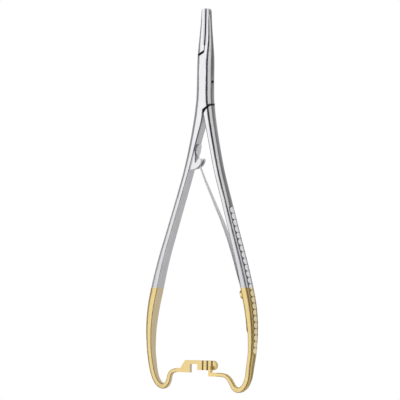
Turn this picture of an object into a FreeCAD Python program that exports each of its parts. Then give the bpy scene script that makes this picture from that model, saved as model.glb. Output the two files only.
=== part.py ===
# Palm-grip surgical needle holder with a box joint, carbide jaw inserts, one leaf spring and a ratchet.
#
# Lengths in mm. The instrument lies on its back: +X to the right, +Y along its length to the jaw tips,
# +Z out of its front face. The origin is on the axis of the joint, in the plane that the back lies on.
# One half is the right jaw, the box and the left handle. The other is the left jaw, the tenon that
# passes through the box, and the right handle.
import FreeCAD, Part
import math
import os
from FreeCAD import Vector

# Overall
DEPTH = 6.3                     # front to back, at the joint and at the grips
MIDDLE = DEPTH / 2              # height of the middle plane above the back
FAR = 400.0                     # longer than anything that a cutting block has to pass
OVER = 1.0                      # how far a cutter reaches past what it cuts
LAP = 0.1                       # how far a block stands proud of the arm that it is joined to
ROUND_SHARE = 0.48              # most of a side that one round may take

# Jaws and box: distance along the instrument, half width, depth, round of the long edges
JAW_TIP = 31.9
TIP_ROUND = 1.3
BODY_SECTIONS = [
    (JAW_TIP, 1.98, 2.35, 0.60),
    (27.0, 2.36, 2.60, 0.75),
    (22.0, 2.76, 2.95, 1.00),
    (17.5, 3.10, 3.70, 1.25),
    (13.8, 3.32, 4.75, 1.60),
    (10.0, 3.44, 5.85, 1.90),
    (6.0, 3.47, DEPTH, 2.00),
    (0.0, 3.50, DEPTH, 2.00),
    (-5.0, 3.55, DEPTH, 2.00),
    (-9.0, 3.72, DEPTH, 2.00),
    (-13.4, 4.25, DEPTH - 0.25, 2.00),
]

# Where the jaws part, and the inserts between them
PARTING_X = 0.3                 # the jaws part a little to the right of the axis
JAW_GAP = 0.04                  # left between the two gripping faces when closed
INSERT_THICK = 0.95
INSERT_START = 15.6
BEVEL_WIDE = 0.32               # bevel along each gripping face, across the instrument
BEVEL_DEEP = 0.75               # and down from its front and back

# Box joint
TENON_THICK = 2.1
SLOT_CLEAR = 0.05               # between tenon and box, on each side
HUB_RADIUS = 2.9
PIN_RADIUS = 1.4
PIN_CLEAR = 0.04
BOX_END = 12.6                  # the box reaches as far above the axis as below it
LOWER_CORNER_X = 0.6            # inner corner of the lower notch
NOTCH_RISE = 2.5                # how much a notch slants over half the width of the box
OPENING = 16.0                  # degrees, from jaws closed to tenon against the side of the box
STOP_PLAY = 1.5                 # degrees left at the end of the opening
UPPER_GAP = 0.9                 # open width of the notch above the box
LOWER_GAP = 2.3                 # and of the one below it, at its inner end
LOWER_GAP_SIDE = 0.3            # and at the side of the box

# Shank, handle and loop of one half, measured on the right one: centre of the section in plan,
# its width across the handle, its depth, and the rounds of its outer and inner edges
HANDLE_SECTIONS = [
    (1.84, -9.5, 3.88, DEPTH, 2.0, 0.5),
    (2.31, -13.6, 3.92, DEPTH - 0.2, 2.0, 0.5),
    (3.03, -18.0, 3.77, DEPTH - 0.5, 1.9, 0.5),
    (4.78, -26.7, 3.50, DEPTH - 0.8, 1.8, 0.5),
    (7.76, -40.0, 3.25, DEPTH - 0.7, 1.7, 0.5),
    (11.70, -53.4, 3.07, DEPTH - 0.5, 1.7, 0.5),
    (15.65, -66.7, 3.05, DEPTH - 0.2, 1.6, 0.4),
    (19.65, -80.0, 3.35, DEPTH, 1.6, 0.4),
    (23.05, -93.4, 3.80, DEPTH, 1.6, 0.4),
    (24.82, -102.3, 3.55, DEPTH - 0.2, 1.5, 0.4),
    (25.64, -111.2, 3.12, DEPTH - 1.0, 1.3, 0.4),
    (25.46, -120.0, 2.72, DEPTH - 1.9, 1.1, 0.4),
    (24.72, -127.0, 2.62, DEPTH - 2.4, 1.0, 0.4),
]
LEFT_BOW = 0.28                 # the left handle bows out by this much more
LEFT_BOW_MIDDLE = -76.0
LEFT_BOW_REACH = 16.0
LEFT_ROOT = 1.0                 # and is wider on its inner side by this much next to the joint
LEFT_ROOT_MIDDLE = -18.0
LEFT_ROOT_REACH = 9.0
# The loops end differently, because the two ratchet arms cross in front of each other
ARM_DEPTH = 2.1
ARM_WIDTH = 1.7
ARM_CLEAR = 0.12                # the catch passes this far in front of the ratchet bar
LOOP_SECTIONS_RIGHT = [
    (24.38, -130.3, 2.68, 3.35, 0.9, 0.4),
    (23.82, -132.6, 2.65, 3.0, 0.8, 0.4),
    (22.78, -134.8, 2.55, 2.8, 0.7, 0.4),
    (21.35, -136.2, 2.45, 2.6, 0.6, 0.4),
    (19.45, -136.8, 2.35, 2.4, 0.5, 0.4),
    (17.70, -136.2, 2.20, 2.2, 0.4, 0.4),
    (16.45, -134.7, 2.05, ARM_DEPTH, 0.4, 0.4),
    (15.10, -132.5, 1.90, ARM_DEPTH, 0.4, 0.4),
    (13.20, -130.8, ARM_WIDTH, ARM_DEPTH, 0.4, 0.4),
    (10.60, -130.25, ARM_WIDTH, ARM_DEPTH, 0.4, 0.4),
    (8.20, -130.2, ARM_WIDTH, ARM_DEPTH, 0.4, 0.4),
]
LOOP_SECTIONS_LEFT = [
    (23.95, -130.6, 2.55, 3.35, 0.9, 0.4),
    (23.00, -133.1, 2.50, 3.0, 0.8, 0.4),
    (21.45, -135.1, 2.45, 2.8, 0.7, 0.4),
    (19.40, -135.95, 2.40, 2.5, 0.6, 0.4),
    (17.60, -135.0, 2.15, 2.2, 0.5, 0.4),
    (16.70, -133.1, 2.00, ARM_DEPTH, 0.4, 0.4),
    (16.25, -131.1, 1.90, ARM_DEPTH, 0.4, 0.4),
    (15.15, -129.45, 1.80, ARM_DEPTH, 0.4, 0.4),
    (13.20, -128.75, ARM_WIDTH, ARM_DEPTH, 0.4, 0.4),
    (11.20, -128.65, ARM_WIDTH, ARM_DEPTH, 0.4, 0.4),
]
STEPS_BETWEEN = 2               # sections put between two of the above, for a smooth skin
SHANK_ROWS = 5                  # the shank ends this many rows down, and the grip starts there

# Ribs on the outer sides of the handles
GROOVE_COUNT = 23
GROOVE_FIRST = -57.2
GROOVE_PITCH = 2.82
GROOVE_DEPTH = 0.34
GROOVE_WIDTH = 2.6

# Ratchet bar on the left half
BAR_TOP = -124.1
BAR_HEIGHT = 4.3
BAR_RIGHT = 7.3
BAR_THIN = 1.7                  # height of the neck over the release gap
BLOCK_LEFT = -8.2
BLOCK_RIGHT = -5.85
BLOCK_BOTTOM = -129.6
BLOCK_LAP = 1.2                 # the block reaches this far back over the end of its arm
BLOCK_SHOULDER = 0.6            # and its shoulder starts this far on
SHOULDER_WIDE = 1.6             # the shoulder's slant, across and up to the top of the bar
SHOULDER_HIGH = 2.2
TEETH_LEFT = -2.1
TOOTH_PITCH = 2.31
TOOTH_FIRST = 1.06
TOOTH_COUNT = 3
TOOTH_DEPTH = 0.45
TOOTH_RAMP = 0.85

# Catch on the right half
CATCH_LEFT = 4.6
CATCH_WIDTH = 1.05
CATCH_TOP = -126.6
CATCH_LAP = 0.5                 # the catch reaches this far back over the end of its arm

# Claw that holds the tip of the spring, on the left shank: its outline, from the root down its slot,
# over the prong and back along the belly
CLAW_DEPTH = 4.5
CLAW_SLIT = 1.9
CLAW_ROOT = [(-6.3, -39.8), (-6.0, -30.4), (-3.8, -30.6)]
CLAW_SLOT = [(-3.7, -31.6), (-3.7, -36.2), (-3.3, -36.6), (-2.9, -36.2)]
CLAW_PRONG = [(-2.45, -35.4), (-1.65, -34.65)]
CLAW_NOSE = [(-0.95, -34.75), (-0.62, -35.7)]
CLAW_BELLY = [(-1.15, -37.2), (-2.6, -38.6), (-4.4, -39.35)]

# Leaf spring: the middle line of its free part, in plan, and half its width at points along the instrument
LEAF_THICK = 0.5
LEAF_STEPS = 24                 # points along each side of the leaf
FOOT_LOW = -111.2               # lower end of the foot
FOOT_HIGH = -91.2               # from here on the leaf stands off the handle
LEAF_FREE = [(18.88, -87.1), (15.93, -78.3), (12.62, -69.45), (9.71, -62.8), (5.38, -54.0), (1.94, -47.0),
             (-0.56, -41.7), (-1.95, -38.3), (-2.95, -35.3), (-3.22, -32.9), (-2.88, -30.6), (-2.35, -28.4)]
LEAF_HALF_WIDTHS = [(1.7, FOOT_LOW), (2.5, FOOT_LOW + 0.9), (2.6, FOOT_HIGH), (0.71, -41.7), (0.6, -39.5),
                    (0.6, -33.3), (1.45, -32.9), (1.95, -32.3), (1.95, -29.3), (1.2, -28.5)]

# Screw of the spring
SCREW_Y = -94.2
SCREW_HEAD_RADIUS = 2.1
SCREW_HEAD_HEIGHT = 1.25
SCREW_EDGE = 0.25               # bevel round its head
SLOT_OF_SCREW = 0.5             # width and depth
SCREW_SHANK_RADIUS = 0.9
SCREW_LENGTH = 2.2
SCREW_HOLE_CLEAR = 0.1


def prism(points, low, high):
    """A closed outline in plan, raised from one height to another."""
    corners = [Vector(x, y, low) for x, y in points]
    face = Part.Face(Part.makePolygon(corners + corners[:1]))
    return face.extrude(Vector(0, 0, high - low))


def slab(x_low, x_high, y_low, y_high, low=-FAR, high=FAR):
    """A block between two planes each way."""
    return prism([(x_low, y_low), (x_high, y_low), (x_high, y_high), (x_low, y_high)], low, high)


def section(centre, across, width, depth, outer_round, inner_round):
    """A rounded rectangle that stands on edge. Across points from its inner to its outer side."""
    outer = min(outer_round, ROUND_SHARE * width, ROUND_SHARE * depth)
    inner = min(inner_round, 2 * ROUND_SHARE * width - outer, ROUND_SHARE * depth)
    corners = [(1, 1, outer), (-1, 1, inner), (-1, -1, inner), (1, -1, outer)]

    def place(a, b):
        return centre + across * a + Vector(0, 0, b)

    arcs = []
    for side, up, radius in corners:
        hub_a = side * (width / 2 - radius)
        hub_b = up * (depth / 2 - radius)
        half = radius * math.sqrt(0.5)
        on_side = place(hub_a + side * radius, hub_b)
        on_face = place(hub_a, hub_b + up * radius)
        middle = place(hub_a + side * half, hub_b + up * half)
        ends = (on_side, on_face) if side * up > 0 else (on_face, on_side)
        arcs.append((ends[0], middle, ends[1]))
    edges = []
    for number, (start, middle, end) in enumerate(arcs):
        edges.append(Part.Arc(start, middle, end).toShape())
        following = arcs[(number + 1) % len(arcs)][0]
        edges.append(Part.LineSegment(end, following).toShape())
    return Part.Wire(edges)


def between(rows, number, share):
    """Values part of the way from one row of a table to the next, on a smooth curve through the rows."""
    before = rows[max(number - 1, 0)]
    here = rows[number]
    there = rows[number + 1]
    after = rows[min(number + 2, len(rows) - 1)]
    values = []
    for a, b, c, d in zip(before, here, there, after):
        slope_here = (c - a) / 2
        slope_there = (d - b) / 2
        s = share
        values.append((2 * s**3 - 3 * s**2 + 1) * b + (s**3 - 2 * s**2 + s) * slope_here
                      + (3 * s**2 - 2 * s**3) * c + (s**3 - s**2) * slope_there)
    return values


def half_width(y):
    """Half the width of the jaws and the box at a distance along the instrument."""
    for high, low in zip(BODY_SECTIONS, BODY_SECTIONS[1:]):
        if y >= low[0]:
            share = (y - low[0]) / (high[0] - low[0])
            return low[1] + share * (high[1] - low[1])
    return BODY_SECTIONS[-1][1]


def closed_body():
    """The jaws and the box together, as one rounded body, before anything is cut."""
    wires = []
    for y, half, depth, edge in BODY_SECTIONS:
        wires.append(section(Vector(0, y, MIDDLE), Vector(1, 0, 0), 2 * half, depth, edge, edge))
    body = Part.makeLoft(wires, True, False)
    low = BODY_SECTIONS[-1][0] - OVER
    tip = BODY_SECTIONS[0][1]
    plan = slab(-tip, tip, JAW_TIP - 4 * TIP_ROUND, JAW_TIP, 0, DEPTH)
    upright = [edge for edge in plan.Edges
               if edge.BoundBox.ZLength > DEPTH / 2 and edge.CenterOfMass.y > JAW_TIP - TIP_ROUND]
    tip_block = plan.makeFillet(TIP_ROUND, upright)
    rest = slab(-FAR, FAR, low, JAW_TIP - 2 * TIP_ROUND, 0, DEPTH)
    return body.common(tip_block.fuse(rest))


def stations_of(rows):
    """The sections of a handle with the steps between them."""
    stations = []
    for number in range(len(rows) - 1):
        for step in range(STEPS_BETWEEN + 1):
            stations.append(between(rows, number, step / (STEPS_BETWEEN + 1)))
    stations.append(list(rows[-1]))
    return stations


def directions(stations):
    """For each section, the unit vector from the inner to the outer side of the right handle."""
    result = []
    for number in range(len(stations)):
        previous = stations[max(number - 1, 0)]
        following = stations[min(number + 1, len(stations) - 1)]
        along = Vector(following[0] - previous[0], following[1] - previous[1], 0)
        if number == 0:
            along = Vector(0, -1, 0)
        along.normalize()
        result.append(Vector(-along.y, along.x, 0))
    return result


def handle(grip_rows, loop_rows, side, arm_height):
    """The shank, grip and loop of one half, each a skin over its sections. Side is -1 for the left half."""
    rows = grip_rows + loop_rows
    stations = stations_of(rows)
    loop_start = HANDLE_SECTIONS[-2][1]
    loop_end = min(row[1] for row in rows)
    wires = []
    past_lowest = False
    for (x, y, width, depth, outer, inner), across in zip(stations, directions(stations)):
        past_lowest = past_lowest or y <= loop_end + 0.01
        share = 1.0 if past_lowest else min(max((loop_start - y) / (loop_start - loop_end), 0), 1)
        centre = Vector(side * x, y, MIDDLE + (arm_height - MIDDLE) * share)
        wires.append(section(centre, Vector(side * across.x, across.y, 0), width, depth, outer, inner))
    seams = [row * (STEPS_BETWEEN + 1) for row in (0, SHANK_ROWS, len(grip_rows) - 1, len(rows) - 1)]
    return [Part.makeLoft(wires[first:last + 1], True, False) for first, last in zip(seams, seams[1:])]


def left_sections():
    """The handle's table for the left half, which is wider at its root and bows out more half way down."""
    rows = []
    for x, y, width, *rest in HANDLE_SECTIONS:
        bow = LEFT_BOW * math.exp(-((y - LEFT_BOW_MIDDLE) / LEFT_BOW_REACH)**2)
        root = LEFT_ROOT * math.exp(-((y - LEFT_ROOT_MIDDLE) / LEFT_ROOT_REACH)**2)
        rows.append((x + bow - root / 2, y, width + root, *rest))
    return rows


def handle_side(rows, y, outward):
    """A point on the inner (-1) or outer (+1) side of a handle drawn on the right, and the way out of it."""
    stations = stations_of(rows)
    points = []
    for station, across in zip(stations, directions(stations)):
        points.append((Vector(station[0], station[1], 0) + across * (outward * station[2] / 2), across))
    for (high, across_high), (low, across_low) in zip(points, points[1:]):
        if high.y >= y >= low.y:
            share = (high.y - y) / (high.y - low.y)
            across = across_high * (1 - share) + across_low * share
            return high * (1 - share) + low * share, across.normalize() * outward
    raise ValueError("no handle at this distance")


def notch_line(corner_x, corner_y, side_x, gap, side_gap):
    """A slanting notch edge, from its inner corner out past the side of the box, as far again. The gaps are
    how far it lies off the box's own edge, at the corner and at the side."""
    away = -1 if corner_y < 0 else 1
    start = corner_y + away * gap
    at_side = corner_y - away * (NOTCH_RISE - side_gap)
    return [(corner_x, start), (2 * side_x - corner_x, 2 * at_side - start)]


def grooves(rows, side):
    """Cutters for the ribs on the outer side of a handle: short round bars that stand upright."""
    half = GROOVE_WIDTH / 2
    radius = (half**2 + GROOVE_DEPTH**2) / (2 * GROOVE_DEPTH)
    cutters = []
    for number in range(GROOVE_COUNT):
        point, out = handle_side(rows, GROOVE_FIRST - number * GROOVE_PITCH, 1)
        centre = point + out * (radius - GROOVE_DEPTH)
        foot = Vector(side * centre.x, centre.y, -OVER)
        cutters.append(Part.makeCylinder(radius, DEPTH + 2 * OVER, foot))
    return cutters


def bevels():
    """Cutter for the two bevelled grooves, front and back, where the inserts meet."""
    cutters = []
    rows = [row for row in BODY_SECTIONS if row[0] > INSERT_START]
    (high, _, deep_high, _), (low, _, deep_low, _) = rows[-1], BODY_SECTIONS[len(rows)]
    share = (high - INSERT_START) / (high - low)
    ends = [(row[0], row[2]) for row in rows] + [(INSERT_START, deep_high + share * (deep_low - deep_high))]
    ends[0] = (JAW_TIP + OVER, ends[0][1])
    for up in (1, -1):
        wires = []
        for y, depth in ends:
            face = MIDDLE + up * (depth / 2 + OVER)
            point = MIDDLE + up * (depth / 2 - BEVEL_DEEP)
            half = BEVEL_WIDE * (face - point) * up / BEVEL_DEEP
            corners = [Vector(PARTING_X - half, y, face), Vector(PARTING_X + half, y, face),
                       Vector(PARTING_X, y, point)]
            wires.append(Part.makePolygon(corners + corners[:1]))
        cutters.append(Part.makeLoft(wires, True, True))
    return cutters[0].fuse(cutters[1])


def upright_pin(radius, low, high):
    """A round bar about the axis of the joint."""
    return Part.makeCylinder(radius, high - low, Vector(0, 0, low))


def box_slot():
    """The space in the box that the tenon passes through, with its two side walls as stops."""
    low = MIDDLE - TENON_THICK / 2 - SLOT_CLEAR
    high = MIDDLE + TENON_THICK / 2 + SLOT_CLEAR
    upper = slab(-FAR, PARTING_X, 0, FAR, low, high)
    lower = slab(0, FAR, -FAR, 0, low, high)
    return upper.fuse([lower, upright_pin(HUB_RADIUS + SLOT_CLEAR, low, high)])


def tenon_plan():
    """The hub and the two arms of the tenon as a block. The arms leave room to swing to the opening."""
    low = MIDDLE - TENON_THICK / 2
    high = MIDDLE + TENON_THICK / 2
    swing = FAR * math.tan(math.radians(OPENING + STOP_PLAY))
    upper = prism([(0, 0), (PARTING_X - SLOT_CLEAR, 0), (PARTING_X - SLOT_CLEAR, FAR), (-FAR, FAR),
                   (-FAR, swing)], low, high)
    lower = prism([(SLOT_CLEAR, 0), (FAR, -swing), (FAR, -FAR), (SLOT_CLEAR, -FAR)], low, high)
    return upper.fuse([lower, upright_pin(HUB_RADIUS, low, high)])


def ratchet_bar():
    """The toothed bar that the left arm ends in, with the release gap under its neck."""
    high = MIDDLE
    low = high - ARM_DEPTH
    bottom = BAR_TOP - BAR_HEIGHT
    under_neck = BAR_TOP - BAR_THIN
    radius = BAR_HEIGHT / 2
    arm_end = LOOP_SECTIONS_LEFT[-1]
    arm_top = arm_end[1] + ARM_WIDTH / 2
    back = -arm_end[0] - BLOCK_LAP
    outline = [(back, BLOCK_BOTTOM), (back, arm_top + LAP), (BLOCK_SHOULDER - arm_end[0], arm_top + LAP),
               (BLOCK_LEFT - SHOULDER_WIDE, BAR_TOP - SHOULDER_HIGH), (BLOCK_LEFT, BAR_TOP),
               (BAR_RIGHT - radius, BAR_TOP), (BAR_RIGHT - radius, bottom), (TEETH_LEFT, bottom),
               (TEETH_LEFT, under_neck), (BLOCK_RIGHT, under_neck), (BLOCK_RIGHT, BLOCK_BOTTOM)]
    bar = prism(outline, low, high)
    bar = bar.fuse(Part.makeCylinder(radius, high - low, Vector(BAR_RIGHT - radius, BAR_TOP - radius, low)))
    for number in range(TOOTH_COUNT):
        x = TOOTH_FIRST + number * TOOTH_PITCH
        y = bottom - OVER
        corners = [Vector(x, y, high - TOOTH_DEPTH), Vector(x, y, high + OVER),
                   Vector(x - TOOTH_RAMP, y, high + OVER), Vector(x - TOOTH_RAMP, y, high)]
        tooth = Part.Face(Part.makePolygon(corners + corners[:1]))
        bar = bar.cut(tooth.extrude(Vector(0, BAR_HEIGHT + 2 * OVER, 0)))
    return bar


def catch():
    """The hook on the end of the right arm that drops in front of the ratchet bar."""
    low = MIDDLE + ARM_CLEAR
    arm_end = LOOP_SECTIONS_RIGHT[-1]
    bottom = arm_end[1] - ARM_WIDTH / 2
    back = arm_end[0] + CATCH_LAP
    outline = [(CATCH_LEFT, bottom), (back, bottom), (back, bottom + ARM_WIDTH),
               (CATCH_LEFT + CATCH_WIDTH, bottom + ARM_WIDTH), (CATCH_LEFT + CATCH_WIDTH, CATCH_TOP),
               (CATCH_LEFT, CATCH_TOP)]
    return prism(outline, low, low + ARM_DEPTH)


def claw():
    """The forked claw on the inner side of the left shank, with its slot open towards the joint."""
    root, slot, prong, nose, belly = [[Vector(x, y, 0) for x, y in points] for points in
                                      (CLAW_ROOT, CLAW_SLOT, CLAW_PRONG, CLAW_NOSE, CLAW_BELLY)]
    straight = root + slot[:2]
    edges = [Part.LineSegment(a, b).toShape() for a, b in zip(straight, straight[1:])]
    edges.append(Part.Arc(*slot[1:]).toShape())
    top = slot[-1:] + prong
    edges += [Part.LineSegment(a, b).toShape() for a, b in zip(top, top[1:])]
    edges.append(Part.Arc(prong[-1], *nose).toShape())
    under = Part.BSplineCurve()
    under.interpolate(nose[-1:] + belly + root[:1])
    edges.append(under.toShape())
    block = Part.Face(Part.Wire(edges)).extrude(Vector(0, 0, CLAW_DEPTH))
    block.translate(Vector(0, 0, MIDDLE - CLAW_DEPTH / 2))
    half = CLAW_SLIT / 2
    slit = slab(slot[0].x, FAR, root[0].y - CLAW_SLIT, root[1].y, MIDDLE - half, MIDDLE + half)
    return block, slit


def leaf():
    """The leaf spring: a bent strip that narrows to a neck and ends in a wider head."""
    line = Part.BSplineCurve()
    foot = []
    for share in (0.0, 0.25, 0.5, 0.75, 1.0):
        point, out = handle_side(HANDLE_SECTIONS, FOOT_LOW + share * (FOOT_HIGH - FOOT_LOW), -1)
        foot.append(point + out * (LEAF_THICK / 2))
    line.interpolate(foot + [Vector(x, y, 0) for x, y in LEAF_FREE])
    first, last = line.FirstParameter, line.LastParameter
    sides = ([], [])
    for number in range(LEAF_STEPS + 1):
        at = first + (last - first) * number / LEAF_STEPS
        tangent = line.tangent(at)[0]
        out = Vector(-tangent.y, tangent.x, 0).normalize()
        for points, way in zip(sides, (1, -1)):
            points.append(line.value(at) + out * (way * LEAF_THICK / 2))
    curves = []
    for points in sides:
        curve = Part.BSplineCurve()
        curve.interpolate(points)
        curves.append(curve.toShape())
    edges = [curves[0], Part.LineSegment(sides[0][-1], sides[1][-1]).toShape(), curves[1],
             Part.LineSegment(sides[1][0], sides[0][0]).toShape()]
    strip = Part.Face(Part.Wire(Part.sortEdges(edges)[0])).extrude(Vector(0, 0, DEPTH))
    return strip.common(leaf_outline())


def leaf_outline():
    """The flat outline of the leaf, seen from its side, as a block across the instrument."""
    outline = LEAF_HALF_WIDTHS + [(-half, y) for half, y in reversed(LEAF_HALF_WIDTHS)]
    corners = [Vector(-FAR, y, MIDDLE + half) for half, y in outline]
    face = Part.Face(Part.makePolygon(corners + corners[:1]))
    return face.extrude(Vector(2 * FAR, 0, 0))


def screw():
    """The screw of the leaf: a slotted head and a shank, the hole it needs in the leaf, and its bore."""
    seat, out = handle_side(HANDLE_SECTIONS, SCREW_Y, -1)
    seat = Vector(seat.x, seat.y, MIDDLE)
    face = seat + out * LEAF_THICK
    low = Part.makeCylinder(SCREW_HEAD_RADIUS, SCREW_HEAD_HEIGHT - SCREW_EDGE, face, out)
    bevel = Part.makeCone(SCREW_HEAD_RADIUS, SCREW_HEAD_RADIUS - SCREW_EDGE, SCREW_EDGE,
                          face + out * (SCREW_HEAD_HEIGHT - SCREW_EDGE), out)
    across = Vector(-out.y, out.x, 0)
    driver = Part.makeBox(SLOT_OF_SCREW, 2 * FAR, SCREW_HEAD_HEIGHT, Vector(-SLOT_OF_SCREW / 2, -FAR, 0))
    driver.Placement = FreeCAD.Placement(face + out * (SCREW_HEAD_HEIGHT - SLOT_OF_SCREW),
                                         FreeCAD.Rotation(across, Vector(0, 0, 1), out))
    shank = Part.makeCylinder(SCREW_SHANK_RADIUS, SCREW_LENGTH + LEAF_THICK + SCREW_EDGE,
                              seat - out * SCREW_LENGTH, out)
    hole_radius = SCREW_SHANK_RADIUS + SCREW_HOLE_CLEAR
    hole = Part.makeCylinder(hole_radius, 4 * LEAF_THICK, seat - out * LEAF_THICK, out)
    bore = Part.makeCylinder(SCREW_SHANK_RADIUS, SCREW_LENGTH + OVER, seat - out * SCREW_LENGTH, out)
    return low.fuse(bevel).cut(driver).fuse(shank), hole, bore


def build():
    """All pieces by name."""
    body = closed_body()
    side_x = half_width(0)
    slit_tool = slab(PARTING_X - INSERT_THICK, PARTING_X + INSERT_THICK, INSERT_START, FAR)
    groove = bevels()
    face_gap = JAW_GAP / 2
    steel_gap = 1.5 * JAW_GAP

    upper = notch_line(PARTING_X, BOX_END, -side_x, 0, 0)
    above_box = prism([(PARTING_X + steel_gap, FAR), (PARTING_X + steel_gap, BOX_END)] + upper
                      + [(-FAR, upper[-1][1]), (-FAR, FAR)], -OVER, DEPTH + OVER)
    lower = notch_line(LOWER_CORNER_X, -BOX_END, side_x, 0, 0)
    below_box = prism([(FAR, -FAR), (FAR, lower[-1][1])] + lower[::-1] + [(-FAR, -BOX_END), (-FAR, -FAR)],
                      -OVER, DEPTH + OVER)
    left_skins = handle(left_sections(), LOOP_SECTIONS_LEFT, -1, MIDDLE - ARM_DEPTH / 2)
    claw_block, claw_slit = claw()
    box = body.cut(above_box).cut(below_box)
    for piece in (*left_skins, claw_block, ratchet_bar()):
        box = box.fuse(piece)
    for tool in (claw_slit, box_slot(), upright_pin(PIN_RADIUS, -OVER, DEPTH + OVER), slit_tool,
                 *grooves(left_sections(), -1)):
        box = box.cut(tool)

    left_edge = notch_line(PARTING_X, BOX_END, -side_x, UPPER_GAP, UPPER_GAP)
    jaw_space = prism([(PARTING_X - steel_gap, FAR), (PARTING_X - steel_gap, left_edge[0][1])]
                      + left_edge[1:] + [(-FAR, left_edge[-1][1]), (-FAR, FAR)], -OVER, DEPTH + OVER)
    right_edge = notch_line(LOWER_CORNER_X, -BOX_END, side_x, LOWER_GAP, LOWER_GAP_SIDE)
    shank_space = prism([(FAR, -FAR), (FAR, right_edge[-1][1])] + right_edge[::-1]
                        + [(-FAR, right_edge[0][1]), (-FAR, -FAR)], -OVER, DEPTH + OVER)
    catch_height = MIDDLE + ARM_CLEAR + ARM_DEPTH / 2
    spring_screw, leaf_hole, screw_bore = screw()
    shank, grip, loop = handle(HANDLE_SECTIONS, LOOP_SECTIONS_RIGHT, 1, catch_height)
    tenon_half = shank.common(shank_space)
    for piece in (grip, loop, body.common(tenon_plan()), body.common(jaw_space), catch()):
        tenon_half = tenon_half.fuse(piece)
    pin_hole = upright_pin(PIN_RADIUS + PIN_CLEAR, -OVER, DEPTH + OVER)
    for tool in (pin_hole, slit_tool, screw_bore, *grooves(HANDLE_SECTIONS, 1)):
        tenon_half = tenon_half.cut(tool)

    right_insert = slab(PARTING_X + face_gap, PARTING_X + INSERT_THICK, INSERT_START, FAR)
    left_insert = slab(PARTING_X - INSERT_THICK, PARTING_X - face_gap, INSERT_START, FAR)
    return {
        "box_half": box,
        "tenon_half": tenon_half,
        "box_jaw_insert": body.common(right_insert).cut(groove),
        "tenon_jaw_insert": body.common(left_insert).cut(groove),
        "pivot_pin": upright_pin(PIN_RADIUS, 0, DEPTH),
        "leaf_spring": leaf().cut([leaf_hole, tenon_half, spring_screw]),
        "spring_screw": spring_screw,
    }


def main():
    os.makedirs("parts", exist_ok=True)
    for name, shape in build().items():
        shape = shape.removeSplitter()
        if len(shape.Solids) == 1:
            shape = shape.Solids[0]
        shape.exportStep("parts/" + name + ".step")
        print(name, shape.isValid(), len(shape.Solids), round(shape.Volume, 2))


if __name__ == "__main__":
    main()
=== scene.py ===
"""Looks of a palm-grip surgical needle holder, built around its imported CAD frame.

Lengths are in metres and in the CAD's frame: +X to the right, +Y along the instrument to the jaw tips, +Z out
of its front face, with the origin on the axis of the joint and the floor at z = 0.
"""
import math
import bpy
import numpy as np
from mathutils import Matrix, Vector


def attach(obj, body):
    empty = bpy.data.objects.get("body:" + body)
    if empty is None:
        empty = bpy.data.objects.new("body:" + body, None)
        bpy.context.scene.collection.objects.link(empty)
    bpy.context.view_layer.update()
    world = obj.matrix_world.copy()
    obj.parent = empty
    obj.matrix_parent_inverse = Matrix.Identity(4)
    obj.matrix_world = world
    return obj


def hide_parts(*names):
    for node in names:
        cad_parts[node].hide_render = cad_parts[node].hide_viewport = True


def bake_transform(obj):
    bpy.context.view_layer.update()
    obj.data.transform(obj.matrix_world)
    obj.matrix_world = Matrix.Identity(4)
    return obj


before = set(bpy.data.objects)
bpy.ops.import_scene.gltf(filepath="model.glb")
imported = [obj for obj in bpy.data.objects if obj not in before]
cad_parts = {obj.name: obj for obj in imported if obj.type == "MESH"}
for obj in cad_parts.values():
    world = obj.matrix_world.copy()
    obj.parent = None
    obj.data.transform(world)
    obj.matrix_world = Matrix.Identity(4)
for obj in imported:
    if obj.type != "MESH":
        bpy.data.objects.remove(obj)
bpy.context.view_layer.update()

MM = 0.001
MIDDLE_Z = 3.15                 # height of the instrument's middle plane, in mm

# Camera: turned to the right of straight above, rolled a little, with a very long lens
CAMERA_TURN = math.radians(28.0)
CAMERA_ROLL = math.radians(0.85)
LOOK_AT = Vector((-1.50, -53.0, 3.95)) * MM
FRAME_WIDTH = 177.32 * MM
LENS = 600.0
SENSOR = 36.0

# Where the plating starts on the axis, how much lower that is for each metre towards +X, and its soft edge
GOLD_FROM = -91.86 * MM
GOLD_SLANT = 0.02
GOLD_EDGE = 0.2 * MM

# Ribs on the outer sides of the handles: middle of the first groove, its pitch, how many there are, and half
# the size of the matt patch in each one, along the handle as a share of the pitch and from front to back; the
# patch's pale colour is a painted highlight
GROOVE_FIRST = -57.2 * MM
GROOVE_PITCH = 2.82 * MM
GROOVE_COUNT = 23
PATCH_HALF_LENGTH = 0.47
PATCH_HALF_HEIGHT = 1.55 * MM

# Height over which the painted shade on the metal between the patches goes from faint, near the back, to full
LAND_PALE = 1.6 * MM
LAND_DARK = 3.4 * MM

# How far a face's normal leans to the front or back, as |z| from 0 to 1: ranges over which a face stops being
# upright, stops being a ribbed side and stops being a plated side, and the range of the plating's turn into a
# side, which gets painted brown shade
UPRIGHT = (0.02, 0.08)
RIBBED_SIDE = (0.55, 0.70)
PLATED_SIDE = (0.35, 0.55)
BROWN_TURN = (0.55, 0.86)
BROWN_EDGE = 0.1

# X times the normal's x, over which a face passes from the middle plane's to the inner or the outer side
TURN_REACH = 0.002

# Inside the joint: half its width, half its height, and how far it reaches along the instrument
JOINT_HALF_WIDTH = 3.1 * MM
JOINT_HALF_HEIGHT = 1.6 * MM
JOINT_LOW = -15.0 * MM
JOINT_HIGH = 13.55 * MM

# The seam between the jaw inserts, and the parting of the jaws below them, both darkened with painted shade
SEAM_X = 0.3 * MM
SEAM_HALF_WIDTH = 0.3 * MM
SEAM_EDGE = 0.05 * MM
PARTING_HALF_WIDTH = 0.2 * MM
PARTING_LOW = JOINT_HIGH - 1.0 * MM
PARTING_HIGH = 15.6 * MM
PARTING_EDGE = 0.03 * MM

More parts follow.
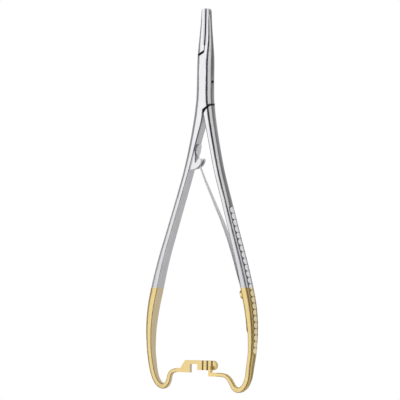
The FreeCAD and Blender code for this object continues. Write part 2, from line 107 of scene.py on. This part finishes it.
# Notches above and below the box: for each edge of one, its Y at X = 0 and its slope
UPPER_NOTCH = ((11.95 * MM, 0.658), (13.42 * MM, 0.658))
LOWER_NOTCH = ((-14.50 * MM, 0.85), (-12.75 * MM, 0.66))
LOWER_NOTCH_FROM = 0.5 * MM
NOTCH_REACH = 4.6 * MM
NOTCH_EDGE = 0.08 * MM

# The inner front edge of the left shank, next to the joint, which gets painted shade: its ends, how soft they
# are, where it ends towards +X, how dark its shade is, and the ranges over which its normal's x and z come in
FORK_HIGH = -12.6 * MM
FORK_LOW = -31.0 * MM
FORK_EDGE = 2.0 * MM
FORK_INNER = (0.5 * MM, 0.6 * MM)
FORK_DARK = 0.75
FORK_NORMAL_X = (0.1, 0.3)
FORK_NORMAL_Z = (0.35, 0.55)

# Grain of the metals: features to the metre, and how that is stretched along X, Y and Z
STREAK_SCALE = 9000.0
STREAK_STRETCH = (1.0, 0.035, 1.0)
CLOUD_SCALE = 260.0
CLOUD_STRETCH = (1.0, 0.4, 1.0)
GRAIN_SCALE = 6000.0
PLATING_WAVE_SCALE = 700.0
PLATING_WAVE = 0.1 * MM

# Where along the instrument the metal goes from its roughness at the loops to its roughness at the jaws
ROUGH_FROM = -90.0 * MM
ROUGH_TO = -20.0 * MM

# Colours
STEEL_COLOUR = (0.77, 0.77, 0.79, 1.0)
LEAF_COLOUR = (0.92, 0.92, 0.94, 1.0)
GOLD_COLOUR = (0.96, 0.75, 0.35, 1.0)
# Gold painted greyer on the inward sides, and painted brown shade where a front or back turns into a side
GOLD_INWARD_PAINTED_TONE = (0.90, 0.76, 0.50, 1.0)
GOLD_TURN_SHADE = (0.60, 0.41, 0.15, 1.0)
CARBIDE_COLOUR = (0.66, 0.66, 0.69, 1.0)
# Pale colours of the matt rib patches: a painted highlight
GROOVE_HIGHLIGHT_STEEL = (0.84, 0.84, 0.86, 1.0)
GROOVE_HIGHLIGHT_GOLD = (0.84, 0.72, 0.44, 1.0)
# Painted shade on the ribbed side between the patches, in steel and in gold
LAND_SHADE_STEEL = (0.22, 0.22, 0.23, 1.0)
LAND_SHADE_GOLD = (0.42, 0.27, 0.09, 1.0)
# Painted shade, for the carbide seam and the places of shadows()
PAINTED_SHADE_COLOUR = (0.05, 0.05, 0.055, 1.0)


# Nodes

def new_material(name):
    """An empty node material, its output and its shader."""
    material = bpy.data.materials.new(name)
    material.use_nodes = True
    tree = material.node_tree
    tree.nodes.clear()
    output = tree.nodes.new("ShaderNodeOutputMaterial")
    shader = tree.nodes.new("ShaderNodeBsdfPrincipled")
    tree.links.new(shader.outputs["BSDF"], output.inputs["Surface"])
    return material, tree, shader


def put(tree, kind, inputs=(), **settings):
    """A node with its settings, and its inputs given as name: value or name: socket."""
    node = tree.nodes.new("ShaderNode" + kind)
    for key, value in settings.items():
        setattr(node, key, value)
    for key, value in dict(inputs).items():
        if isinstance(value, bpy.types.NodeSocket):
            tree.links.new(value, node.inputs[key])
        else:
            node.inputs[key].default_value = value
    return node


def object_point(tree, scale=(1.0, 1.0, 1.0)):
    """Object coordinates, stretched by a scale on each axis."""
    place = put(tree, "TexCoord")
    return put(tree, "Mapping", {"Vector": place.outputs["Object"], "Scale": scale}).outputs["Vector"]


def noise(tree, scale, stretch=(1.0, 1.0, 1.0), detail=3.0, roughness=0.55):
    """Cloudy noise from 0 to 1, whose features are about 1 / scale metres across."""
    point = object_point(tree, stretch)
    found = put(tree, "TexNoise", {"Vector": point, "Scale": scale, "Detail": detail, "Roughness": roughness})
    return found.outputs["Fac"]


def spread(tree, value, low, high, out_low, out_high, soft=False):
    """A value taken from one range to another, and held at its ends."""
    kind = "SMOOTHSTEP" if soft else "LINEAR"
    node = put(tree, "MapRange", {"Value": value, "From Min": low, "From Max": high,
                                  "To Min": out_low, "To Max": out_high}, interpolation_type=kind)
    return node.outputs["Result"]


def arithmetic(tree, operation, a, b=0.0):
    """One operation on two numbers, each a value or a socket."""
    return put(tree, "Math", {0: a, 1: b}, operation=operation).outputs[0]


def mix_colour(tree, share, first, second, blend="MIX"):
    """The first colour where the share is 0, and the second, or their blend, where it is 1."""
    return put(tree, "Mix", {0: share, 6: first, 7: second}, data_type="RGBA", blend_type=blend).outputs[2]


def ramp(tree, share, stops):
    """Grey levels at positions from 0 to 1, with straight lines between them."""
    node = put(tree, "ValToRGB", {"Fac": share})
    places = node.color_ramp.elements
    while len(places) < len(stops):
        places.new(0.5)
    for place, (position, grey) in zip(places, stops):
        place.position = position
        place.color = (grey, grey, grey, 1)
    return node.outputs["Color"]


def bump(tree, height, distance, strength):
    """A normal that leans as if the surface rose by distance, in metres, times a height from 0 to 1."""
    return put(tree, "Bump", {"Height": height, "Distance": distance, "Strength": strength}).outputs["Normal"]


# Materials

def within(tree, value, low, high, edge=0.0001):
    """1 from low to high, else 0."""
    return arithmetic(tree, "MULTIPLY", spread(tree, value, low - edge, low, 0.0, 1.0),
                      spread(tree, value, high, high + edge, 1.0, 0.0))


def ribs(tree, place, way):
    """Two shares. The first is 1 on a rounded patch in each groove: upright surfaces that face away from the
    middle, with (p / half length)**2 + (h / half height)**3 < 1, where p is the distance from the groove's
    middle in pitches and h the height off the middle plane; this patch is made matt and painted pale as a
    highlight. The second is 1 on the rest of the ribbed side, and falls towards the back, where the floor
    lights it; it gets painted shade."""
    steep = arithmetic(tree, "ABSOLUTE", way.outputs["Z"])
    upright = spread(tree, steep, *UPRIGHT, 1.0, 0.0)
    side = spread(tree, steep, *RIBBED_SIDE, 1.0, 0.0)
    outward = arithmetic(tree, "MULTIPLY", way.outputs["X"], place.outputs["X"])
    outward = spread(tree, outward, 0.0, TURN_REACH, 0.0, 1.0)
    first = GROOVE_FIRST + GROOVE_PITCH / 2
    reach = within(tree, place.outputs["Y"], first - GROOVE_COUNT * GROOVE_PITCH, first)
    number = arithmetic(tree, "DIVIDE", arithmetic(tree, "SUBTRACT", place.outputs["Y"], first), GROOVE_PITCH)
    along = arithmetic(tree, "ABSOLUTE", arithmetic(tree, "SUBTRACT", arithmetic(tree, "FRACT", number), 0.5))
    height = arithmetic(tree, "ABSOLUTE", arithmetic(tree, "SUBTRACT", place.outputs["Z"], MIDDLE_Z * MM))
    across = arithmetic(tree, "POWER", arithmetic(tree, "DIVIDE", height, PATCH_HALF_HEIGHT), 3.0)
    long = arithmetic(tree, "POWER", arithmetic(tree, "DIVIDE", along, PATCH_HALF_LENGTH), 2.0)
    patch = spread(tree, arithmetic(tree, "ADD", across, long), 0.9, 1.1, 1.0, 0.0)
    ribbed = arithmetic(tree, "MULTIPLY", outward, reach)
    patch = arithmetic(tree, "MULTIPLY", arithmetic(tree, "MULTIPLY", patch, upright), ribbed)
    rest = arithmetic(tree, "MULTIPLY", arithmetic(tree, "SUBTRACT", side, patch), ribbed)
    # The rest of the ribbed side gets painted shade, less of it near the back
    unlit = spread(tree, place.outputs["Z"], LAND_PALE, LAND_DARK, 0.2, 1.0)
    return patch, arithmetic(tree, "MULTIPLY", rest, unlit)


def between_lines(tree, place, lines, x_low, x_high):
    """1 between two slanting lines in plan, each Y = start + slope * X, from one X to another, else 0."""
    share = within(tree, place.outputs["X"], x_low, x_high)
    for (start, slope), sign in zip(lines, (1, -1)):
        line = arithmetic(tree, "ADD", arithmetic(tree, "MULTIPLY", place.outputs["X"], slope), start)
        past = arithmetic(tree, "MULTIPLY", arithmetic(tree, "SUBTRACT", place.outputs["Y"], line), sign)
        share = arithmetic(tree, "MULTIPLY", spread(tree, past, 0.0, NOTCH_EDGE, 0.0, 1.0), share)
    return share


def shadows(tree, place, way):
    """How dark the metal is, from 0 to 1, in the places that little light gets into: the joint's slot, the
    notches above and below the box, the parting of the jaws and the inner front edge of the left shank."""
    x, y, z = (place.outputs[axis] for axis in "XYZ")
    height = arithmetic(tree, "SUBTRACT", z, MIDDLE_Z * MM)
    slot = within(tree, y, JOINT_LOW, JOINT_HIGH)
    for value, reach in ((x, JOINT_HALF_WIDTH), (height, JOINT_HALF_HEIGHT)):
        slot = arithmetic(tree, "MULTIPLY", within(tree, value, -reach, reach), slot)
    upper = between_lines(tree, place, UPPER_NOTCH, -NOTCH_REACH, SEAM_X)
    lower = between_lines(tree, place, LOWER_NOTCH, LOWER_NOTCH_FROM, NOTCH_REACH)
    parting = within(tree, x, SEAM_X - PARTING_HALF_WIDTH, SEAM_X + PARTING_HALF_WIDTH, PARTING_EDGE)
    parting = arithmetic(tree, "MULTIPLY", parting, within(tree, y, PARTING_LOW, PARTING_HIGH))
    fork = within(tree, y, FORK_LOW, FORK_HIGH, FORK_EDGE)
    for part in (spread(tree, x, *FORK_INNER, FORK_DARK, 0.0),
                 spread(tree, way.outputs["X"], *FORK_NORMAL_X, 0.0, 1.0),
                 spread(tree, way.outputs["Z"], *FORK_NORMAL_Z, 0.0, 1.0)):
        fork = arithmetic(tree, "MULTIPLY", fork, part)
    darkest = slot
    for other in (upper, lower, parting, fork):
        darkest = arithmetic(tree, "MAXIMUM", darkest, other)
    return darkest


def gold_and_painted_shade(tree, place, way):
    """Gold, with painted brown shade where a front or back turns into a side, and painted greyer on the sides
    that face the middle, a tone set by which way the face points.
    """
    steep = arithmetic(tree, "ABSOLUTE", way.outputs["Z"])
    inward = arithmetic(tree, "MULTIPLY", way.outputs["X"], place.outputs["X"])
    inward = spread(tree, inward, -TURN_REACH, 0.0, 1.0, 0.0)
    side = arithmetic(tree, "MULTIPLY", inward, spread(tree, steep, *PLATED_SIDE, 1.0, 0.0))
    turn = within(tree, steep, *BROWN_TURN, BROWN_EDGE)
    return mix_colour(tree, turn, mix_colour(tree, side, GOLD_COLOUR, GOLD_INWARD_PAINTED_TONE), GOLD_TURN_SHADE)


def satin_metal(name, steel, rough_jaws, rough_loops, ribbed=False):
    """Metal ground along its length: fine streaks and faint clouds, steel above the level where the plating
    starts and gold below it, with painted shade on the gold's turns, and rougher towards the loops. Where it
    is ribbed, the ribs are matt with patches painted pale as a highlight, the rest of the ribbed side gets
    painted shade, and the places of shadows() get painted shade."""
    material, tree, shader = new_material(name)
    place = put(tree, "SeparateXYZ", {0: object_point(tree)})
    streaks = noise(tree, STREAK_SCALE, STREAK_STRETCH, detail=4.0, roughness=0.6)
    clouds = noise(tree, CLOUD_SCALE, CLOUD_STRETCH)
    wave = spread(tree, noise(tree, PLATING_WAVE_SCALE), 0.3, 0.7, -PLATING_WAVE, PLATING_WAVE)
    wavy = arithmetic(tree, "ADD", place.outputs["Y"], wave)
    level = arithmetic(tree, "SUBTRACT", wavy, arithmetic(tree, "MULTIPLY", place.outputs["X"], GOLD_SLANT))
    gilt = spread(tree, level, GOLD_FROM - GOLD_EDGE, GOLD_FROM + GOLD_EDGE, 1.0, 0.0, soft=True)
    way = put(tree, "SeparateXYZ", {0: put(tree, "TexCoord").outputs["Normal"]})
    base = mix_colour(tree, gilt, steel, gold_and_painted_shade(tree, place, way))
    rough = spread(tree, place.outputs["Y"], ROUGH_FROM, ROUGH_TO, rough_loops, rough_jaws)
    rough = arithmetic(tree, "ADD", rough, spread(tree, streaks, 0.25, 0.75, -0.04, 0.05))
    rough = arithmetic(tree, "ADD", rough, spread(tree, clouds, 0.3, 0.7, -0.02, 0.02))
    if ribbed:
        groove, land_shade = ribs(tree, place, way)
        # Painted shade for the rest of the ribbed side, in steel and in gold
        dull = mix_colour(tree, gilt, LAND_SHADE_STEEL, LAND_SHADE_GOLD)
        # Pale colour of the matt rib patches: a painted highlight
        matt = mix_colour(tree, gilt, GROOVE_HIGHLIGHT_STEEL, GROOVE_HIGHLIGHT_GOLD)
        base = mix_colour(tree, groove, mix_colour(tree, land_shade, base, dull), matt)
        # Painted shade where little light gets in: the joint's slot, the notches, the jaws' parting and the
        # fork
        base = mix_colour(tree, shadows(tree, place, way), base, PAINTED_SHADE_COLOUR)
        rough = arithmetic(tree, "MAXIMUM", rough, arithmetic(tree, "MULTIPLY", groove, 0.6))
        tree.links.new(arithmetic(tree, "SUBTRACT", 1.0, groove), shader.inputs["Metallic"])
    else:
        shader.inputs["Metallic"].default_value = 1.0
    shade = arithmetic(tree, "ADD", spread(tree, clouds, 0.3, 0.7, 0.92, 1.03),
                       spread(tree, streaks, 0.3, 0.7, -0.03, 0.03))
    tree.links.new(mix_colour(tree, 1.0, base, shade, "MULTIPLY"), shader.inputs["Base Color"])
    tree.links.new(rough, shader.inputs["Roughness"])
    tree.links.new(bump(tree, streaks, 0.00002, 0.25), shader.inputs["Normal"])
    return material


def carbide(name):
    """Dull grey carbide, with painted shade in the groove where the two inserts meet."""
    material, tree, shader = new_material(name)
    grain = noise(tree, GRAIN_SCALE)
    place = put(tree, "SeparateXYZ", {0: object_point(tree)})
    off_seam = arithmetic(tree, "ABSOLUTE", arithmetic(tree, "SUBTRACT", place.outputs["X"], SEAM_X))
    # Painted shade along the seam between the inserts
    seam = spread(tree, off_seam, SEAM_HALF_WIDTH, SEAM_HALF_WIDTH + SEAM_EDGE, 1.0, 0.0)
    tree.links.new(mix_colour(tree, seam, CARBIDE_COLOUR, PAINTED_SHADE_COLOUR), shader.inputs["Base Color"])
    shader.inputs["Metallic"].default_value = 1.0
    tree.links.new(spread(tree, grain, 0.3, 0.7, 0.24, 0.34), shader.inputs["Roughness"])
    tree.links.new(bump(tree, grain, 0.00003, 0.4), shader.inputs["Normal"])
    return material


STEEL_AND_GOLD = satin_metal("satin_steel_and_gold", STEEL_COLOUR, 0.18, 0.35, ribbed=True)
SPRING_STEEL = satin_metal("spring_steel", LEAF_COLOUR, 0.25, 0.30)
GOLD_PLATE = satin_metal("gold_plate", STEEL_COLOUR, 0.2, 0.3)
CARBIDE = carbide("carbide")

FINISHES = {
    "box_half": STEEL_AND_GOLD, "tenon_half": STEEL_AND_GOLD, "pivot_pin": STEEL_AND_GOLD,
    "box_jaw_insert": CARBIDE, "tenon_jaw_insert": CARBIDE, "leaf_spring": SPRING_STEEL,
    "spring_screw": GOLD_PLATE,
}


def dress(obj, material):
    """One material over the whole of an object, through its object's slots."""
    if not obj.material_slots:
        obj.data.materials.append(material)
    for place in obj.material_slots:
        place.link = "OBJECT"
        place.material = material


for node, finish in FINISHES.items():
    dress(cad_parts[node], finish)


# Meshes

def mesh_piece(name, vertices, faces, material, smooth=True):
    """A new object at the origin, from arrays of its corners and faces."""
    mesh = bpy.data.meshes.new(name)
    mesh.from_pydata(vertices.tolist(), [], [list(f) for f in faces])
    mesh.update()
    mesh.polygons.foreach_set("use_smooth", np.full(len(mesh.polygons), smooth))
    obj = bpy.data.objects.new(name, mesh)
    bpy.context.scene.collection.objects.link(obj)
    obj.data.materials.append(material)
    return obj


def tube_faces(rings, around):
    """Quads of a closed tube of rings, wound so that they point outwards, with a flat cap on each end."""
    ring, step = np.meshgrid(np.arange(rings - 1), np.arange(around), indexing="ij")
    after = (step + 1) % around
    quads = np.stack([ring * around + step, ring * around + after,
                      (ring + 1) * around + after, (ring + 1) * around + step], -1).reshape(-1, 4)
    low_cap = list(range(around))[::-1]
    high_cap = [(rings - 1) * around + k for k in range(around)]
    return quads.tolist() + [low_cap, high_cap]


def smooth_line(points, count):
    """Cubic line through points: each stretch is h00 p0 + h10 d0 + h01 p1 + h11 d1, with slopes d from the
    neighbours on both sides, and the stretches are sampled in equal steps of chord length."""
    points = np.asarray(points, float)
    steps = np.linalg.norm(np.diff(points, axis=0), axis=1)
    along = np.concatenate([[0.0], np.cumsum(steps)])
    slopes = np.gradient(points, along, axis=0)
    at = np.linspace(0, along[-1], count)
    left = np.clip(np.searchsorted(along, at, side="right") - 1, 0, len(steps) - 1)
    span = steps[left][:, None]
    t = ((at - along[left]) / steps[left])[:, None]
    h00, h10 = 2 * t ** 3 - 3 * t ** 2 + 1, t ** 3 - 2 * t ** 2 + t
    h01, h11 = -2 * t ** 3 + 3 * t ** 2, t ** 3 - t ** 2
    right = left + 1
    return h00 * points[left] + h10 * span * slopes[left] + h01 * points[right] + h11 * span * slopes[right]


# Leaf spring: middle line in plan and half width, in mm
LEAF_LINE = [(23.83, -111.2), (23.34, -106.2), (22.56, -101.2), (21.5, -96.25), (20.36, -91.26),
             (18.88, -87.1), (15.93, -78.3), (12.62, -69.45), (9.71, -62.8), (5.38, -54.0), (1.94, -47.0),
             (-0.56, -41.7), (-1.95, -38.3), (-2.95, -35.3), (-3.22, -32.9), (-2.88, -30.6), (-2.35, -28.4)]
LEAF_HALF_WIDTH = [(-111.2, 1.7), (-110.3, 2.5), (-91.2, 2.6), (-41.7, 0.71), (-39.5, 0.6), (-33.3, 0.6),
                   (-32.9, 1.45), (-32.3, 1.95), (-29.3, 1.95), (-28.5, 1.2)]
LEAF_THICK = 0.5
LEAF_RINGS = 260
LEAF_AROUND = 20
LEAF_ROUNDING = 0.3


def leaf_spring():
    """The spring: a rounded strip carried along its line. A point is line(u) + across(u) * a(v) + up * b(v),
    where (a, b) runs round a superellipse (cos v, sin v) ** rounding as thick as the leaf and as wide as it
    is there."""
    line = smooth_line(LEAF_LINE, LEAF_RINGS)
    tangent = np.gradient(line, axis=0)
    tangent /= np.linalg.norm(tangent, axis=1)[:, None]
    across = np.stack([-tangent[:, 1], tangent[:, 0]], 1)
    level, width = np.array(LEAF_HALF_WIDTH).T
    half_width = np.interp(line[:, 1], level, width)
    v = np.linspace(0, 2 * np.pi, LEAF_AROUND, endpoint=False) + np.pi / LEAF_AROUND
    a = np.sign(np.cos(v)) * np.abs(np.cos(v)) ** LEAF_ROUNDING * LEAF_THICK / 2
    b = np.sign(np.sin(v)) * np.abs(np.sin(v)) ** LEAF_ROUNDING
    xy = line[:, None, :] + across[:, None, :] * a[None, :, None]
    z = MIDDLE_Z + half_width[:, None] * b[None, :]
    points = np.concatenate([xy, z[:, :, None]], 2).reshape(-1, 3) * MM
    faces = tube_faces(LEAF_RINGS, LEAF_AROUND)
    leaf = mesh_piece("leaf", points, faces, SPRING_STEEL)
    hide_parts("leaf_spring")
    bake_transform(leaf)


# Ratchet bar, in mm: its toothed layer, and the first step, pitch, number, depth and ramp of its teeth
BAR_LOW, BAR_HIGH = -128.4, -124.1
BAR_LEFT, BAR_RIGHT = 0.0, 7.3
LAYER_LOW = 2.04
TOOTH_FIRST, TOOTH_PITCH, TOOTH_COUNT = 1.06, 2.31, 3
TOOTH_DEPTH, TOOTH_RAMP = 0.45, 0.85
STEP_HALF_WIDTH = 0.0001
ROUND_POINTS = 14
ROUND_TURN = 1.55


def toothed_layer():
    """The layer of the ratchet bar that carries its teeth. At x it reaches w to both sides of the bar's
    middle, with w = sqrt(radius ** 2 - (x - centre) ** 2) in the rounded end, and up to the middle plane less
    depth * (1 - (step - x) / ramp) on the ramp in front of each step."""
    radius = (BAR_HIGH - BAR_LOW) / 2
    middle = (BAR_HIGH + BAR_LOW) / 2
    steps = TOOTH_FIRST + TOOTH_PITCH * np.arange(TOOTH_COUNT)
    rounded = BAR_RIGHT - radius + radius * np.sin(np.linspace(0, ROUND_TURN, ROUND_POINTS))
    x = np.sort(np.concatenate([[BAR_LEFT], steps - TOOTH_RAMP, steps - STEP_HALF_WIDTH,
                                steps + STEP_HALF_WIDTH, rounded]))
    share = 1 - (steps[:, None] - x) / TOOTH_RAMP
    top = MIDDLE_Z - TOOTH_DEPTH * np.where(share < 1, share, 0).clip(0).max(0)
    half = np.sqrt(radius ** 2 - (x - BAR_RIGHT + radius).clip(0) ** 2)
    side = np.array([1, -1, -1, 1])
    y = middle + half[:, None] * side
    z = np.stack([top, top, np.full_like(x, LAYER_LOW), np.full_like(x, LAYER_LOW)], 1)
    points = np.stack([np.repeat(x[:, None], 4, 1), y, z], 2).reshape(-1, 3) * MM
    faces = tube_faces(len(x), 4)
    layer = mesh_piece("toothed_layer", points, faces, STEEL_AND_GOLD, smooth=False)
    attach(layer, "box_side")


leaf_spring()
toothed_layer()


# Camera, floor and light

def camera():
    """A long lens on the line from the look-at point along (sin turn, 0, cos turn), rolled about it."""
    data = bpy.data.cameras.new("camera")
    data.lens, data.sensor_width = LENS, SENSOR
    data.clip_start, data.clip_end = 0.01, 50.0
    obj = bpy.data.objects.new("camera", data)
    bpy.context.scene.collection.objects.link(obj)
    back = Vector((math.sin(CAMERA_TURN), 0, math.cos(CAMERA_TURN)))
    flat = Vector((math.cos(CAMERA_TURN), 0, -math.sin(CAMERA_TURN)))
    along = Vector((0, 1, 0))
    right = flat * math.cos(CAMERA_ROLL) + along * math.sin(CAMERA_ROLL)
    up = along * math.cos(CAMERA_ROLL) - flat * math.sin(CAMERA_ROLL)
    distance = FRAME_WIDTH * LENS / SENSOR
    turned = Matrix((right, up, back)).transposed().to_4x4()
    obj.matrix_world = Matrix.Translation(LOOK_AT + back * distance) @ turned
    bpy.context.scene.camera = obj


# Brightness of the floor in the metal, and the line that parts its two greys: Y and X in mm
FLOOR_BETWEEN = 0.54
FLOOR_RIGHT = 0.15
FLOOR_FAR = 0.75
FLOOR_NEAR_RAMP = (0.0, 2.0 * MM)
FLOOR_FAR_RAMP = (6.0 * MM, 11.0 * MM)
FLOOR_HALF_SIZE = 3.0
FLOOR_TOP = -0.02 * MM
FLOOR_EDGE = [(-140, 25.0), (-120, 27.0), (-93, 25.0), (-66.7, 17.2), (-40, 9.4), (-13, 4.4), (0, 3.5),
              (35, 2.0)]


def floor():
    """A white floor under the back of the instrument. In the metal it is grey, but dark in a strip along the
    right half's outer edge and light past it."""
    corners = ((-1, -1), (1, -1), (1, 1), (-1, 1))
    points = [(x * FLOOR_HALF_SIZE, y * FLOOR_HALF_SIZE, FLOOR_TOP) for x, y in corners]
    mesh = bpy.data.meshes.new("floor")
    mesh.from_pydata(points, [], [(0, 1, 2, 3)])
    obj = bpy.data.objects.new("floor", mesh)
    bpy.context.scene.collection.objects.link(obj)
    material, tree, shader = new_material("floor")
    tree.nodes.remove(shader)
    place = put(tree, "SeparateXYZ", {0: object_point(tree)})
    low, high = FLOOR_EDGE[0][0], FLOOR_EDGE[-1][0]
    reach = max(x for _, x in FLOOR_EDGE)
    along = spread(tree, place.outputs["Y"], low * MM, high * MM, 0.0, 1.0)
    edge = ramp(tree, along, [((y - low) / (high - low), x / reach) for y, x in FLOOR_EDGE])
    past = arithmetic(tree, "SUBTRACT", place.outputs["X"], arithmetic(tree, "MULTIPLY", edge, reach * MM))
    near = spread(tree, past, *FLOOR_NEAR_RAMP, FLOOR_BETWEEN, FLOOR_RIGHT)
    far = spread(tree, past, *FLOOR_FAR_RAMP, 0.0, FLOOR_FAR - FLOOR_RIGHT)
    grey = arithmetic(tree, "ADD", near, far)
    rays = put(tree, "LightPath")
    white = put(tree, "Emission", {"Color": (1, 1, 1, 1), "Strength": 1.0})
    dim = put(tree, "Emission", {"Color": (1, 1, 1, 1), "Strength": grey})
    seen = put(tree, "MixShader", {0: rays.outputs["Is Glossy Ray"], 1: white.outputs[0], 2: dim.outputs[0]})
    output = next(n for n in tree.nodes if n.type == "OUTPUT_MATERIAL")
    tree.links.new(seen.outputs[0], output.inputs["Surface"])
    obj.data.materials.append(material)


# Brightness of the room round the instrument's length: degrees from straight up towards +X, grey level
ROOM = [(-180, 0.25), (-60, 0.30), (-44, 0.40), (-38, 1.15), (-18, 1.25), (-11, 0.35), (-6, 0.05), (28, 0.05),
        (34, 0.25), (42, 0.85), (92, 0.75), (180, 0.75)]


def room():
    """World: grey level by the angle of a ray round the Y axis, atan2(x, z), and white to the camera."""
    world = bpy.data.worlds.new("room")
    bpy.context.scene.world = world
    world.use_nodes = True
    tree = world.node_tree
    tree.nodes.clear()
    output = tree.nodes.new("ShaderNodeOutputWorld")
    way = put(tree, "SeparateXYZ", {0: put(tree, "TexCoord").outputs["Generated"]})
    angle = arithmetic(tree, "ARCTAN2", way.outputs["X"], way.outputs["Z"])
    share = spread(tree, angle, -math.pi, math.pi, 0.0, 1.0)
    levels = ramp(tree, share, [((degrees + 180) / 360, grey) for degrees, grey in ROOM])
    lit = put(tree, "Background", {"Color": levels, "Strength": 1.0})
    white = put(tree, "Background", {"Color": (1, 1, 1, 1), "Strength": 1.0})
    rays = put(tree, "LightPath")
    seen = put(tree, "MixShader", {0: rays.outputs["Is Camera Ray"], 1: lit.outputs[0], 2: white.outputs[0]})
    tree.links.new(seen.outputs[0], output.inputs["Surface"])


camera()
floor()
room()
bpy.context.scene.view_settings.view_transform = "Standard"
